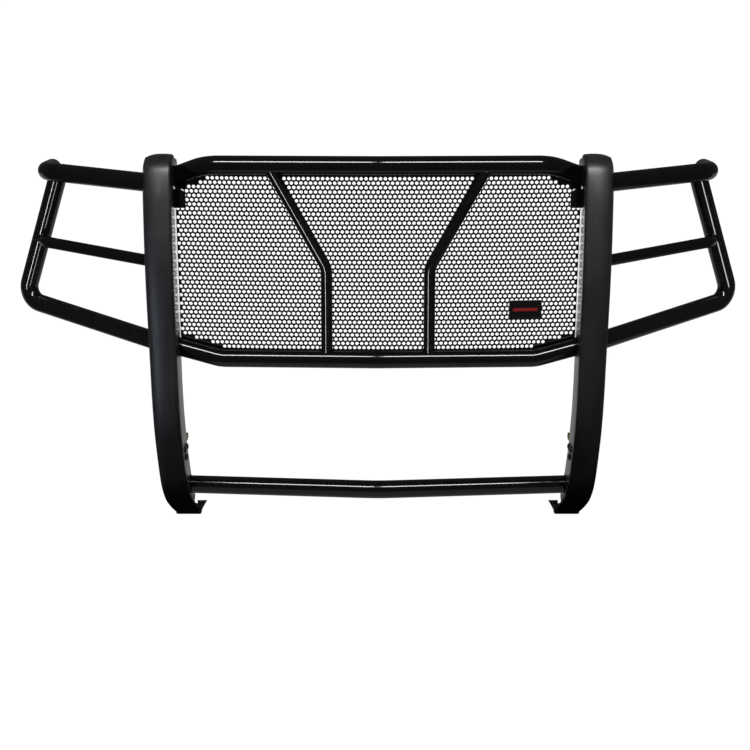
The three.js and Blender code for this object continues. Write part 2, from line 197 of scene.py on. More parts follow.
yellow_zinc = plated_steel("yellow_zinc_plate", (0.42, 0.31, 0.12), (0.66, 0.52, 0.27), 0.24, 0.38, 1.0)
clear_zinc = plated_steel("clear_zinc_plate", (0.46, 0.47, 0.49), (0.68, 0.69, 0.71), 0.22, 0.36, 1.0)
black_oxide = plated_steel(
    "black_oxide_steel", (0.016, 0.016, 0.018), (0.034, 0.034, 0.037), 0.30, 0.45, 0.6,
)
print("plated finishes made")

# %% [markdown]
# The badge is a satin plate with one enamelled stripe, plain on purpose. The stripe is a raised piece of its own, so
# it needs only its own enamel.

# %% Badge enamel
def enamel():
    material, tree, shader = new_finish("red_enamel", 0.25, coat=0.5)
    blend_colours(tree, shader, object_noise(tree, 160.0), (0.30, 0.012, 0.014), (0.40, 0.020, 0.022))
    add_bump(tree, shader, object_noise(tree, 700.0, 1.0), 0.05, 0.0002)
    return material


red_enamel = enamel()
print("enamel made")

# %% [markdown]
# ## From a shape to a piece of the object
#
# Every shape below is made once, for the right-hand side, in drawing millimetres. These helpers merge its doubles,
# mirror it for the other side, mark the edges that stay crisp and put it in the frame, riding on its body and
# standing for its plain node.

# %% Helpers that finish a piece
CRISP_ANGLE = math.radians(34)


def clean(mesh, merge=1e-4):
    shape = bmesh.new()
    shape.from_mesh(mesh)
    bmesh.ops.remove_doubles(shape, verts=shape.verts, dist=merge)
    bmesh.ops.recalc_face_normals(shape, faces=shape.faces)
    shape.to_mesh(mesh)
    shape.free()
    return mesh


def mirrored(mesh):
    copy = mesh.copy()
    copy.transform(Matrix.Scale(-1, 4, (1, 0, 0)))
    copy.flip_normals()
    return copy


def to_piece(name, mesh, finish, body, nodes, crisp=CRISP_ANGLE):
    mesh.name = name
    mesh.transform(TO_FRAME)
    mesh.materials.clear()
    mesh.materials.append(finish)
    mesh.shade_smooth()
    mesh.set_sharp_from_angle(angle=crisp)
    piece = bpy.data.objects.new(name, mesh)
    bpy.context.scene.collection.objects.link(piece)
    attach(piece, body)
    if nodes:
        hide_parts(*nodes)
    return piece


def to_pair(name, mesh, finish, body, nodes, crisp=CRISP_ANGLE):
    shapes = {"right": mesh, "left": mirrored(mesh)}
    pair = []
    for side, shape in shapes.items():
        stands_for = [f"{node}_{side}" for node in nodes]
        pair.append(to_piece(f"{name}_{side}", shape, finish, body, stands_for, crisp))
    print(f"{name}: {len(mesh.polygons)} faces a side")
    return pair


def joined(*meshes):
    shape = bmesh.new()
    for mesh in meshes:
        shape.from_mesh(mesh)
    whole = bpy.data.meshes.new("joined")
    shape.to_mesh(whole)
    shape.free()
    return whole


# %% [markdown]
# ## Bent tube
#
# A tube bender leaves straight runs joined by arcs, so the centre line is worked out the same way: each corner gets
# an arc of its own radius. A ring of points then travels along it without twisting. A curve object with a round
# bevel would do it too, but its rings lean at the joins, and the long highlight on a glossy tube shows that.

# %% Centre lines and tubes
TUBE_RADIUS = 25.4
CROSSBAR_RADIUS = 26.6
ROD_RADIUS = 15.9
TUBE_SIDES = 72
BEND_STEP = math.radians(3)


def bent_line(corners, radii):
    corners = [Vector(corner) for corner in corners]
    line = [(corners[0], (corners[1] - corners[0]).normalized())]
    for before, corner, after, radius in zip(corners, corners[1:], corners[2:], radii):
        into, out = (corner - before).normalized(), (after - corner).normalized()
        angle = into.angle(out)
        start = corner - into * radius * math.tan(angle / 2)
        axis = into.cross(out).normalized()
        spoke = axis.cross(into) * -radius
        steps = max(4, math.ceil(angle / BEND_STEP))
        for k in range(steps + 1):
            turn = Matrix.Rotation(angle * k / steps, 3, axis)
            line.append((start - spoke + turn @ spoke, turn @ into))
    line.append((corners[-1], (corners[-1] - corners[-2]).normalized()))
    return line


def tube(line, radius, sides=TUBE_SIDES):
    shape = bmesh.new()
    side_way = line[0][1].orthogonal().normalized()
    rings = []
    for point, tangent in line:
        side_way = (side_way - tangent * side_way.dot(tangent)).normalized()
        up_way = tangent.cross(side_way)
        ring = []
        for k in range(sides):
            angle = math.tau * k / sides
            outward = side_way * math.cos(angle) + up_way * math.sin(angle)
            ring.append(shape.verts.new(point + radius * outward))
        rings.append(ring)
    for ring, following in zip(rings, rings[1:]):
        for k in range(sides):
            after = (k + 1) % sides
            shape.faces.new((ring[k], ring[after], following[after], following[k]))
    shape.faces.new(rings[0][::-1])
    shape.faces.new(rings[-1])
    return shape


def trim(shape, point, normal):
    """Takes away what lies beyond a plane and closes the cut."""
    everything = [*shape.verts, *shape.edges, *shape.faces]
    result = bmesh.ops.bisect_plane(
        shape, geom=everything, dist=1e-5, plane_co=point, plane_no=normal, clear_outer=True,
    )
    rim = [item for item in result["geom_cut"] if isinstance(item, bmesh.types.BMEdge)]
    bmesh.ops.holes_fill(shape, edges=rim, sides=0)


def to_mesh(shape, name="shape"):
    bmesh.ops.recalc_face_normals(shape, faces=shape.faces)
    mesh = bpy.data.meshes.new(name)
    shape.to_mesh(mesh)
    shape.free()
    return mesh


# %% [markdown]
# ## Crossbars
#
# Three tubes tie the uprights together. Each has a very slight nose at the middle. The upper two also bend at the
# shoulders, down or up to meet the uprights. Their ends run two millimetres into the plates, as a weld would.

# %% Crossbars
PLATE_INNER_X = 559.0
PLATE_OUTER_X = 631.0
WELD_DEPTH = 2.0
TOP_Z = 1144.0
LOWER_Z = 602.0
BOTTOM_Z = 177.0
SHOULDER_Y = 77.0
NOSE_Y = 62.0
TOP_SHOULDER_X = 468.0
LOWER_SHOULDER_X = 441.0
PAST_THE_PLATE = 1.25


def grille_corners(z, shoulder_x, end_z, end_y):
    end = (
        shoulder_x + (PLATE_INNER_X - shoulder_x) * PAST_THE_PLATE,
        SHOULDER_Y + (end_y - SHOULDER_Y) * PAST_THE_PLATE,
        z + (end_z - z) * PAST_THE_PLATE,
    )
    right = [(shoulder_x, SHOULDER_Y, z), end]
    left = [(-x, y, z) for x, y, z in reversed(right)]
    return [*left, (0, NOSE_Y, z), *right]


top_corners = grille_corners(TOP_Z, TOP_SHOULDER_X, 1107, 125)
lower_corners = grille_corners(LOWER_Z, LOWER_SHOULDER_X, 631, 92)
bottom_corners = [(-600, 203, BOTTOM_Z), (0, 154, BOTTOM_Z), (600, 203, BOTTOM_Z)]


def crossbar(corners, radii, radius):
    shape = tube(bent_line(corners, radii), radius)
    for side in (1, -1):
        trim(shape, (side * (PLATE_INNER_X + WELD_DEPTH), 0, 0), (side, 0, 0))
    return to_mesh(shape)


for name, node, corners, radii, radius in (
    ("top_bar", "top_tube", top_corners, (120, 600, 120), TUBE_RADIUS),
    ("lower_bar", "lower_tube", lower_corners, (120, 600, 120), TUBE_RADIUS),
    ("bottom_bar", "bottom_crossbar", bottom_corners, (500,), CROSSBAR_RADIUS),
):
    bar = to_piece(name, crossbar(corners, radii, radius), gloss_black, "guard", [node])
    print(name, len(bar.data.polygons), "faces")

# %% [markdown]
# ## Struts and wings
#
# Two thinner rods brace the grille, each bent once, so that they splay out towards the top. At the sides, each wing
# is three tubes: one along the top that turns back at its end, a loop that comes up from below and is coped onto it,
# and a thinner one across the middle. A coped end lies inside its neighbour, so it needs no cutting here.

# %% Struts and wings
strut_corners = [(291, 68, TOP_Z - 12), (142, 66, 862), (143, 66, LOWER_Z + 5)]
wing_top_corners = [(600, 44, 1099), (919, 154, 1116), (923, 262, 1111)]
wing_loop_corners = [(600, 38, 657), (1018, 228, 739), (901, 228, 1095)]
wing_middle_corners = [(600, 42, 883), (934, 158, 918), (950, 215, 916)]


def wing_tube(corners, bend_radius, radius):
    shape = tube(bent_line(corners, [bend_radius]), radius)
    trim(shape, (PLATE_OUTER_X - WELD_DEPTH, 0, 0), (-1, 0, 0))
    return to_mesh(shape)


strut_mesh = to_mesh(tube(bent_line(strut_corners, [70]), ROD_RADIUS))
to_pair("strut_rod", strut_mesh, gloss_black, "guard", ["strut"])
for name, node, corners, bend_radius, radius in (
    ("wing_top", "wing_top_tube", wing_top_corners, 46, TUBE_RADIUS),
    ("wing_loop", "wing_loop_tube", wing_loop_corners, 47, TUBE_RADIUS),
    ("wing_middle", "wing_middle_tube", wing_middle_corners, 30, ROD_RADIUS),
):
    to_pair(name, wing_tube(corners, bend_radius, radius), gloss_black, "guard", [node])

# %% [markdown]
# ## Running a Geometry Nodes tree
#
# A tree is a recipe with named inputs. The helper below makes an object, gives it the recipe, sets the inputs by
# their identifiers before anything is evaluated, and keeps only the plain mesh that comes out.

# %% Helpers for Geometry Nodes
class Recipe:
    def __init__(self, name, **sizes):
        self.tree = bpy.data.node_groups.new(name, "GeometryNodeTree")
        ports = self.tree.interface
        ports.new_socket("Geometry", in_out="INPUT", socket_type="NodeSocketGeometry")
        for label, value in sizes.items():
            socket = ports.new_socket(label, in_out="INPUT", socket_type="NodeSocketFloat")
            socket.default_value = value
        ports.new_socket("Finish", in_out="INPUT", socket_type="NodeSocketMaterial")
        ports.new_socket("Geometry", in_out="OUTPUT", socket_type="NodeSocketGeometry")
        self.inputs = self.tree.nodes.new("NodeGroupInput").outputs
        self.outputs = self.tree.nodes.new("NodeGroupOutput").inputs

    def put(self, value, socket):
        if isinstance(value, bpy.types.NodeSocket):
            self.tree.links.new(value, socket)
        else:
            socket.default_value = value

    def node(self, kind, settings=None, **values):
        node = self.tree.nodes.new(kind)
        for key, value in (settings or {}).items():
            setattr(node, key, value)
        for key, value in values.items():
            self.put(value, node.inputs[key.replace("_", " ")])
        return node

    def math(self, operation, first, second=0.0):
        node = self.node("ShaderNodeMath", {"operation": operation})
        self.put(first, node.inputs[0])
        self.put(second, node.inputs[1])
        return node.outputs[0]

    def vector(self, x=0.0, y=0.0, z=0.0):
        return self.node("ShaderNodeCombineXYZ", X=x, Y=y, Z=z).outputs[0]

    def join(self, *parts):
        node = self.tree.nodes.new("GeometryNodeJoinGeometry")
        for part in parts:
            self.tree.links.new(part, node.inputs[0])
        return node.outputs[0]

    def end(self, geometry):
        real = self.node("GeometryNodeRealizeInstances", Geometry=geometry).outputs[0]
        dressed = self.node("GeometryNodeSetMaterial", Geometry=real, Material=self.inputs["Finish"])
        self.tree.links.new(dressed.outputs[0], self.outputs["Geometry"])


def cook(recipe, start, finish, **sizes):
    """Runs a recipe on a start mesh or curve and returns the mesh that comes out."""
    stove = bpy.data.objects.new("stove", start)
    bpy.context.scene.collection.objects.link(stove)
    modifier = stove.modifiers.new("recipe", "NODES")
    modifier.node_group = recipe.tree
    for item in recipe.tree.interface.items_tree:
        if item.in_out == "INPUT" and item.name in sizes:
            modifier[item.identifier] = float(sizes[item.name])
        if item.in_out == "INPUT" and item.name == "Finish":
            modifier[item.identifier] = finish
    stove.update_tag()
    bpy.context.view_layer.update()
    ready = stove.evaluated_get(bpy.context.evaluated_depsgraph_get())
    mesh = bpy.data.meshes.new_from_object(ready)
    stove.modifiers.clear()
    bpy.data.objects.remove(stove)
    return mesh


def points_mesh(points):
    mesh = bpy.data.meshes.new("points")
    mesh.from_pydata([tuple(point) for point in points], [], [])
    return mesh


# %% [markdown]
# ## The grille sheet
#
# The sheet is punched flat with about three thousand round holes in staggered rows, trimmed to its outline and then
# bowed. The recipe works in that order too. Fill Curve makes one flat face out of the outline and all the circles
# inside it, which keeps the metal between the holes in one piece without a single boolean. Then every point is
# pushed back along the bow, and the sheet gets its thickness.

# %% Recipe for the punched sheet
def punched_sheet_recipe():
    r = Recipe(
        "punched_sheet", Columns=87.0, Rows=41.0, Pitch_X=13.12, Pitch_Z=12.18, Hole=4.9, Middle_Z=873.8,
        Reach=552.0, Reach_Low=546.0, High=1113.0, Low=629.0, High_Corner=1323.8, High_Slope=0.4655,
        Low_Corner=483.7, Low_Slope=0.3333, Bow=28.0, Bow_Reach=548.0, Front_Y=83.0, Thickness=2.5,
    )
    size = r.inputs
    half = 0.5
    count = r.math("MULTIPLY", size["Columns"], size["Rows"])
    points = r.node("GeometryNodePoints", Count=count).outputs[0]
    index = r.node("GeometryNodeInputIndex").outputs[0]
    row = r.math("FLOOR", r.math("DIVIDE", r.math("ADD", index, half), size["Columns"]))
    column = r.math("SUBTRACT", index, r.math("MULTIPLY", row, size["Columns"]))
    stagger = r.math("MULTIPLY", r.math("MODULO", row, 2.0), half)
    middle_column = r.math("MULTIPLY", r.math("SUBTRACT", size["Columns"], 1.0), half)
    middle_row = r.math("MULTIPLY", r.math("SUBTRACT", size["Rows"], 1.0), half)
    steps_x = r.math("ADD", r.math("SUBTRACT", column, middle_column), stagger)
    x = r.math("MULTIPLY", steps_x, size["Pitch_X"])
    steps_z = r.math("SUBTRACT", row, middle_row)
    z = r.math("ADD", size["Middle_Z"], r.math("MULTIPLY", steps_z, size["Pitch_Z"]))
    grid = r.node("GeometryNodeSetPosition", Geometry=points, Position=r.vector(x, z, 0.0)).outputs[0]

    # A hole stays where it is clear of the edges and of the four cut corners.
    place = r.node("ShaderNodeSeparateXYZ", Vector=r.node("GeometryNodeInputPosition").outputs[0]).outputs
    aside = r.math("ABSOLUTE", place["X"])
    high_edge = r.math("SUBTRACT", size["High_Corner"], r.math("MULTIPLY", aside, size["High_Slope"]))
    low_edge = r.math("ADD", size["Low_Corner"], r.math("MULTIPLY", aside, size["Low_Slope"]))
    beyond = r.math("GREATER_THAN", aside, size["Reach"])
    for test in (
        r.math("GREATER_THAN", place["Y"], size["High"]),
        r.math("LESS_THAN", place["Y"], size["Low"]),
        r.math("GREATER_THAN", place["Y"], high_edge),
        r.math("LESS_THAN", place["Y"], low_edge),
    ):
        beyond = r.math("MAXIMUM", beyond, test)
    kept = r.node(
        "GeometryNodeDeleteGeometry", {"domain": "POINT"}, Geometry=grid, Selection=beyond,
    ).outputs[0]

    circle = r.node("GeometryNodeCurvePrimitiveCircle", Resolution=12, Radius=size["Hole"]).outputs[0]
    holes = r.node("GeometryNodeInstanceOnPoints", Points=kept, Instance=circle).outputs[0]
    holes = r.node("GeometryNodeRealizeInstances", Geometry=holes).outputs[0]
    outline = r.join(r.inputs["Geometry"], holes)
    flat = r.node("GeometryNodeFillCurve", Curve=outline).outputs[0]

    spot = r.node("ShaderNodeSeparateXYZ", Vector=r.node("GeometryNodeInputPosition").outputs[0]).outputs
    share = r.math("POWER", r.math("DIVIDE", r.math("ABSOLUTE", spot["X"]), size["Bow_Reach"]), 2.0)
    front = r.math("ADD", size["Front_Y"], r.math("MULTIPLY", size["Bow"], share))
    bowed = r.node(
        "GeometryNodeSetPosition", Geometry=flat, Position=r.vector(spot["X"], front, spot["Y"]),
    ).outputs[0]
    set_back = r.vector(y=size["Thickness"])
    back = r.node("GeometryNodeTransform", Geometry=bowed, Translation=set_back).outputs[0]
    walls = r.node(
        "GeometryNodeExtrudeMesh", {"mode": "EDGES"}, Mesh=bowed,
        Selection=r.math("COMPARE", r.node("GeometryNodeInputMeshEdgeNeighbors").outputs[0], 1.0),
        Offset=r.vector(y=1.0), Offset_Scale=size["Thickness"],
    ).outputs[0]
    turned = r.node("GeometryNodeFlipFaces", Mesh=back).outputs[0]
    whole = r.join(walls, turned)
    r.end(r.node("GeometryNodeMergeByDistance", Geometry=whole, Distance=0.01).outputs[0])
    return r


punched_sheet = punched_sheet_recipe()
print("punched sheet recipe:", len(punched_sheet.tree.nodes), "nodes")

# %% [markdown]
# The start of that recipe is the sheet's outline, drawn flat as a closed curve with (x, z) as its first two
# coordinates. The recipe leaves the walls of the holes facing either way, so the normals are set right once the
# shell is closed.

# %% Punch the sheet
SHEET_OUTLINE = [(557.0, 1092), (440, SHEET_TOP_Z), (-440, SHEET_TOP_Z), (-557.0, 1092),
                 (-557.0, 648), (-430, 618), (430, 618), (557.0, 648)]


def flat_curve(*outlines):
    curve = bpy.data.curves.new("outline", "CURVE")
    curve.dimensions = "2D"
    curve.fill_mode = "NONE"
    for outline in outlines:
        spline = curve.splines.new("POLY")
        spline.points.add(len(outline) - 1)
        for point, (x, y) in zip(spline.points, outline):
            point.co = (x, y, 0, 1)
        spline.use_cyclic_u = True
    return curve


def subdivided(outline, step):
    """The same outline with points no further apart than a step, so that it can follow the bow."""
    points = []
    for (x0, y0), (x1, y1) in zip(outline, outline[1:] + outline[:1]):
        parts = max(1, math.ceil(math.hypot(x1 - x0, y1 - y0) / step))
        points += [(x0 + (x1 - x0) * k / parts, y0 + (y1 - y0) * k / parts) for k in range(parts)]
    return points


sheet_mesh = cook(punched_sheet, flat_curve(subdivided(SHEET_OUTLINE, 30)), gloss_black)
clean(sheet_mesh)
grille = to_piece("punched_grille", sheet_mesh, gloss_black, "guard", ["grille_sheet"])
print("grille sheet:", len(grille.data.polygons), "faces")

# %% [markdown]
# ## Flat plates with holes
#
# Laser-cut plate is a flat outline with holes and slightly broken edges. A filled two-dimensional curve gives just
# that: its extrusion is the thickness, and its bevel breaks the edges. Corners are rounded first, as a cutter
# leaves them.

# %% Plate helpers
def rounded(outline, radius, steps=5):
    """Each corner of a closed outline becomes a small arc-like curve."""
    points = []
    count = len(outline)
    for i, corner in enumerate(outline):
        here = Vector(corner)
        before, after = Vector(outline[i - 1]) - here, Vector(outline[(i + 1) % count]) - here
        start = here + before.normalized() * min(radius, before.length * 0.45)
        end = here + after.normalized() * min(radius, after.length * 0.45)
        for k in range(steps + 1):
            t = k / steps
            points.append(tuple(start * (1 - t) ** 2 + here * 2 * t * (1 - t) + end * t * t))
    return points


def arc(centre, radius, start, end, steps):
    angles = [start + (end - start) * k / steps for k in range(steps + 1)]
    return [(centre[0] + radius * math.cos(a), centre[1] + radius * math.sin(a)) for a in angles]


def circle(centre, radius, steps=28):
    return arc(centre, radius, 0, math.tau * (1 - 1 / steps), steps - 1)


def stadium(centre, radius, travel):
    quarter = math.pi / 2
    back = arc((centre[0] + travel, centre[1]), radius, -quarter, quarter, 12)
    front = arc((centre[0] - travel, centre[1]), radius, quarter, 3 * quarter, 12)
    return back + front


def plate(outlines, thickness, edge=0.5):
    """A plate on the XY plane, with its thickness from z = 0 up."""
    curve = flat_curve(*outlines)
    curve.fill_mode = "BOTH"
    curve.bevel_depth = edge
    curve.bevel_resolution = 2
    curve.offset = -edge
    curve.extrude = thickness / 2 - edge
    holder = bpy.data.objects.new("plate", curve)
    bpy.context.scene.collection.objects.link(holder)
    bpy.context.view_layer.update()
    ready = holder.evaluated_get(bpy.context.evaluated_depsgraph_get())
    mesh = bpy.data.meshes.new_from_object(ready)
    bpy.data.objects.remove(holder)
    mesh.transform(Matrix.Translation((0, 0, thickness / 2)))
    return clean(mesh, 1e-3)


SIDE_VIEW = Matrix(((0, 0, 1, 0), (1, 0, 0, 0), (0, 1, 0, 0), (0, 0, 0, 1)))     # (y, z, x) to (x, y, z)
FRONT_VIEW = Matrix(((1, 0, 0, 0), (0, 0, -1, 0), (0, 1, 0, 0), (0, 0, 0, 1)))   # (x, z) with -y as its top


def side_plate(outlines, x0, thickness, edge=0.5):
    mesh = plate(outlines, thickness, edge)
    mesh.transform(Matrix.Translation((x0, 0, 0)) @ SIDE_VIEW)
    return mesh


# %% [markdown]
# ## The uprights' face line
#
# One smooth line, seen from the side, shapes each upright: over the crown, down the nearly straight front, and back
# under to the foot. It is a Catmull-Rom curve through a few points. The rubber, the steel web and the edges of the
# side plates are all that same line, set back by different depths.

# %% The face line and its set-backs
FACE_POINTS = [
    (118, 1169), (84, 1168), (44, 1145), (24, 1090), (12, 1010), (2, 900), (0, 800), (4, 700), (9, 600),
    (13, 500), (26, 410), (50, 335), (78, 266), (105, 212), (138, 169), (187, 124), (245, 85), (304, 50),
    (358, 20),
]


def catmull_rom(points, per_span=24):
    p = [np.array(points[0], float), *[np.array(v, float) for v in points], np.array(points[-1], float)]
    smooth = []
    for a, b, c, d in zip(p, p[1:], p[2:], p[3:]):
        for k in range(per_span):
            t = k / per_span
            smooth.append(0.5 * (2 * b + (c - a) * t + (2 * a - 5 * b + 4 * c - d) * t**2
                                 + (3 * b - a - 3 * c + d) * t**3))
    return np.array([*smooth, p[-1]])


def evenly(points, count):
    lengths = np.concatenate([[0], np.cumsum(np.linalg.norm(np.diff(points, axis=0), axis=1))])
    stations = np.linspace(0, lengths[-1], count + 1)
    return np.stack([np.interp(stations, lengths, points[:, k]) for k in (0, 1)], axis=1)


FACE_STEPS = 150
face_line = evenly(catmull_rom(FACE_POINTS), FACE_STEPS)
face_along = np.gradient(face_line, axis=0)
face_along /= np.linalg.norm(face_along, axis=1)[:, None]
face_inward = np.stack([-face_along[:, 1], face_along[:, 0]], axis=1)


def face_at(depth):
    return [tuple(point) for point in face_line + face_inward * depth]


print("face line length", round(float(np.linalg.norm(np.diff(face_line, axis=0), axis=1).sum())), "mm")

# %% [markdown]
# ## Channel uprights
#
# The steel under the rubber is a channel: two cut side plates joined by a bent web. Its coat is duller than the
# tubes'. Three slots near the foot of the inner plate take the screws, so that the whole guard slides fore and aft
# on its brackets before they are nipped up.

# %% Channel uprights
PLATE = 5.0
RUBBER = 9.0
SLOTS = [(136, 318), (120, 292), (100, 321)]
SLOT_HALF = 6.0
SLOT_TRAVEL = 10.0
REAR_EDGE = [
    (262, 90), (286, 98), (292, 114), (222, 203), (165, 314), (130, 432), (120, 520), (118, 1005),
    (128, 1025), (184, 1040), (195, 1060), (195, 1115), (187, 1140), (166, 1156),
]


def channel():
    foot_y, foot_z = REAR_EDGE[0]
    sole = [p for p in reversed(face_at(RUBBER + PLATE)) if p[0] > foot_y + 6 and p[1] < foot_z]
    rear = rounded(REAR_EDGE, 9)[6:-6]
    outline = face_at(RUBBER) + sole + rear
    slots = [stadium(slot, SLOT_HALF, SLOT_TRAVEL) for slot in SLOTS]
    inner = side_plate([outline, *slots], PLATE_INNER_X, PLATE)
    outer = side_plate([outline], PLATE_OUTER_X - PLATE, PLATE)
    bent_web = face_at(RUBBER) + face_at(RUBBER + PLATE)[::-1]
    tuck = 1.0
    width = PLATE_OUTER_X - PLATE_INNER_X - 2 * PLATE + 2 * tuck
    web = side_plate([bent_web], PLATE_INNER_X + PLATE - tuck, width, edge=0.2)
    return joined(inner, outer, web)


to_pair("channel", channel(), satin_black, "guard", ["upright"])

# %% [markdown]
# ## Rubber faces
#
# The rubber is one moulding: a gently crowned front, rounded more towards the outer edge than the inner, and a lip
# that wraps each side of the channel. A section drawn as (x, depth) is carried down the face line, because a swept
# section keeps its edges parallel, as a mould does. Towards the crest the inner corner tightens, and towards the
# foot the outer one does, so the section is drawn again at each height.

# %% Rubber faces
RUBBER_LIP = 2.2
WRAP_DEPTH = 18.0
SEAT_GAP = 0.35
INNER_CORNER = (20.0, 9.0)
OUTER_CORNER = (42.0, 14.5)
FOOT_CORNER = (22.0, 8.0)
FOOT_FROM_Z, FOOT_TO_Z = 430.0, 180.0
CREST_CORNER = (8.0, 8.0)
CREST_FROM_Z, CREST_TO_Z = 1080.0, 1150.0
CROWN = 1.1


def between(first, last, from_z, to_z, height):
    share = min(1.0, max(0.0, (height - from_z) / (to_z - from_z)))
    return [a + (b - a) * share for a, b in zip(first, last)]


def rubber_section(height):
    outer_wide, outer_deep = between(OUTER_CORNER, FOOT_CORNER, FOOT_FROM_Z, FOOT_TO_Z, height)
    inner_wide, inner_deep = between(INNER_CORNER, CREST_CORNER, CREST_FROM_Z, CREST_TO_Z, height)
    left, right = PLATE_INNER_X - RUBBER_LIP, PLATE_OUTER_X + RUBBER_LIP
    corner_steps = 9
    section = [(left, WRAP_DEPTH)]
    for k in range(corner_steps + 1):
        a = math.pi / 2 * k / corner_steps
        section.append((left + inner_wide * (1 - math.cos(a)), inner_deep * (1 - math.sin(a)) + CROWN))
    front_steps = 8
    start, end = left + inner_wide, right - outer_wide
    for k in range(1, front_steps):
        t = k / front_steps
        section.append((start + (end - start) * t, CROWN * (1 - math.sin(math.pi / 2 * min(1, 1.5 * t)))))
    for k in range(2 * corner_steps + 1):
        a = math.pi / 4 * k / corner_steps
        section.append((end + outer_wide * math.sin(a), outer_deep * (1 - math.cos(a))))
    section.append((right, WRAP_DEPTH))
    seat_left, seat_right = PLATE_INNER_X - SEAT_GAP, PLATE_OUTER_X + SEAT_GAP
    seat_depth = RUBBER - SEAT_GAP
    section += [(seat_right, WRAP_DEPTH), (seat_right, seat_depth)]
    section += [(seat_left, seat_depth), (seat_left, WRAP_DEPTH)]
    return section


def swept_face():
    shape = bmesh.new()
    rows = []
    for point, inward in zip(face_line, face_inward):
        section = rubber_section(point[1])
        rows.append([shape.verts.new((x, *(point + inward * depth))) for x, depth in section])
    count = len(rows[0])
    for row, following in zip(rows, rows[1:]):
        for k in range(count):
            after = (k + 1) % count
            shape.faces.new((row[k], row[after], following[after], following[k]))
    shape.faces.new(rows[0])
    shape.faces.new(rows[-1][::-1])
    return to_mesh(shape)


to_pair("rubber_face", swept_face(), face_rubber, "guard", ["rubber_strip"])

# %% [markdown]
# ## Foot curls
#
# Below, a separate rubber lip curls up and closes the end of the channel. It is a thick bent strip, whose tip
# stands higher at the inner side, and whose inner side is trimmed on a slant.

# %% Foot curls
FOOT_OUTLINE = [
    (359.4, 18.2), (376, 9), (392, 6), (407, 12), (414, 27), (412, 43), (405, 43), (406, 29), (400, 18),
    (390, 13), (379, 15.5), (362.4, 25),
]
FOOT_LOW = [*FOOT_OUTLINE[:5], (413.5, 32), (405.8, 32), *FOOT_OUTLINE[7:]]
FOOT_INNER_X = 538.0
FOOT_TIP_WIDTH = 31.0
FOOT_FLARE = 0.5625


def foot_curl():
    width = PLATE_OUTER_X - FOOT_INNER_X
    shape = bmesh.new()
    low = side_plate([rounded(FOOT_LOW, 3)], FOOT_INNER_X, width, edge=1.0)
    tip = side_plate([rounded(FOOT_OUTLINE, 3)], FOOT_INNER_X, FOOT_TIP_WIDTH, edge=1.0)
    shape.from_mesh(joined(low, tip))
    trim(shape, (556, 0, 12), (-1, 0, -FOOT_FLARE))
    trim(shape, (624, 0, 8), (1, 0, -1))
    return to_mesh(shape)


to_pair("foot_curl", foot_curl(), face_rubber, "guard", ["foot_lip"])

# %% [markdown]
# ## Corner tabs and badge
#
# A small tab at each top corner holds the sheet to its upright. The badge is a plain satin plate near the lower
# right of the sheet, with a raised rim and one enamelled stripe.

# %% Corner tabs and badge
SHEET_BOW = 28.0
BOW_REACH = 548.0


def sheet_y(x):
    return SHEET_FRONT_Y + SHEET_BOW * (x / BOW_REACH) ** 2


TAB_OUTLINE = [(528, 1022), (560, 1022), (560, 1074), (540, 1074), (528, 1064)]
tab = plate([rounded(TAB_OUTLINE, 2)], 3, 0.4)
tab.transform(Matrix.Translation((0, sheet_y(540) - 3, 0)) @ FRONT_VIEW)
to_pair("sheet_tab", tab, gloss_black, "guard", ["corner_tab"])

BADGE_X, BADGE_Z = 412.0, 737.0
BADGE_SIZE = (92.0, 54.0)


def centred_box(width, height, radius):
    w, h = width / 2, height / 2
    return rounded([(w, h), (-w, h), (-w, -h), (w, -h)], radius)


turn = math.atan(2 * SHEET_BOW * BADGE_X / BOW_REACH**2)
badge_place = (Matrix.Translation((BADGE_X, sheet_y(BADGE_X) - 1.2, BADGE_Z)) @ Matrix.Rotation(turn, 4, "Z")
               @ FRONT_VIEW)
badge_base = plate([centred_box(*BADGE_SIZE, 5)], 1.6, 0.4)
badge_rim = plate([centred_box(*BADGE_SIZE, 5), centred_box(84, 46, 3)], 2.4, 0.5)
badge_mesh = joined(badge_base, badge_rim)
badge_mesh.transform(badge_place)
to_piece("badge", badge_mesh, satin_black, "guard", ["badge_plate"])
stripe_mesh = plate([centred_box(70, 9, 1.5)], 2.1, 0.3)
stripe_mesh.transform(badge_place)
to_piece("badge_stripe", stripe_mesh, red_enamel, "guard", [])
print("badge and stripe placed")

# %% [markdown]
# ## Weld beads
#
# Each tube is welded all round. A bead is a row of small overlapping puddles, so the recipe walks along the joint's
# curve, drops a squashed ball every two millimetres, turned along the joint, and makes them real. The joint curves
# are worked out: each line along the tube's surface is followed until it meets the plate or the other tube.

# %% Recipe for a weld bead
def weld_recipe():
    r = Recipe("weld_bead", Ripple=2.1, Size=2.6, Squash=0.62)
    path = r.node("GeometryNodeResampleCurve", {"mode": "LENGTH"}, Curve=r.inputs["Geometry"],
                  Length=r.inputs["Ripple"]).outputs[0]
    ball = r.node("GeometryNodeMeshUVSphere", Segments=8, Rings=6, Radius=r.inputs["Size"]).outputs[0]
    along = r.node("GeometryNodeInputTangent").outputs[0]
    turn_to = r.node("FunctionNodeAlignRotationToVector", {"axis": "Z"}, Vector=along).outputs[0]
    spots = r.node("GeometryNodeInstanceOnPoints", Points=path, Instance=ball, Rotation=turn_to,
                   Scale=r.vector(1.0, 1.0, r.inputs["Squash"])).outputs[0]
    r.end(spots)
    return r


weld_bead = weld_recipe()


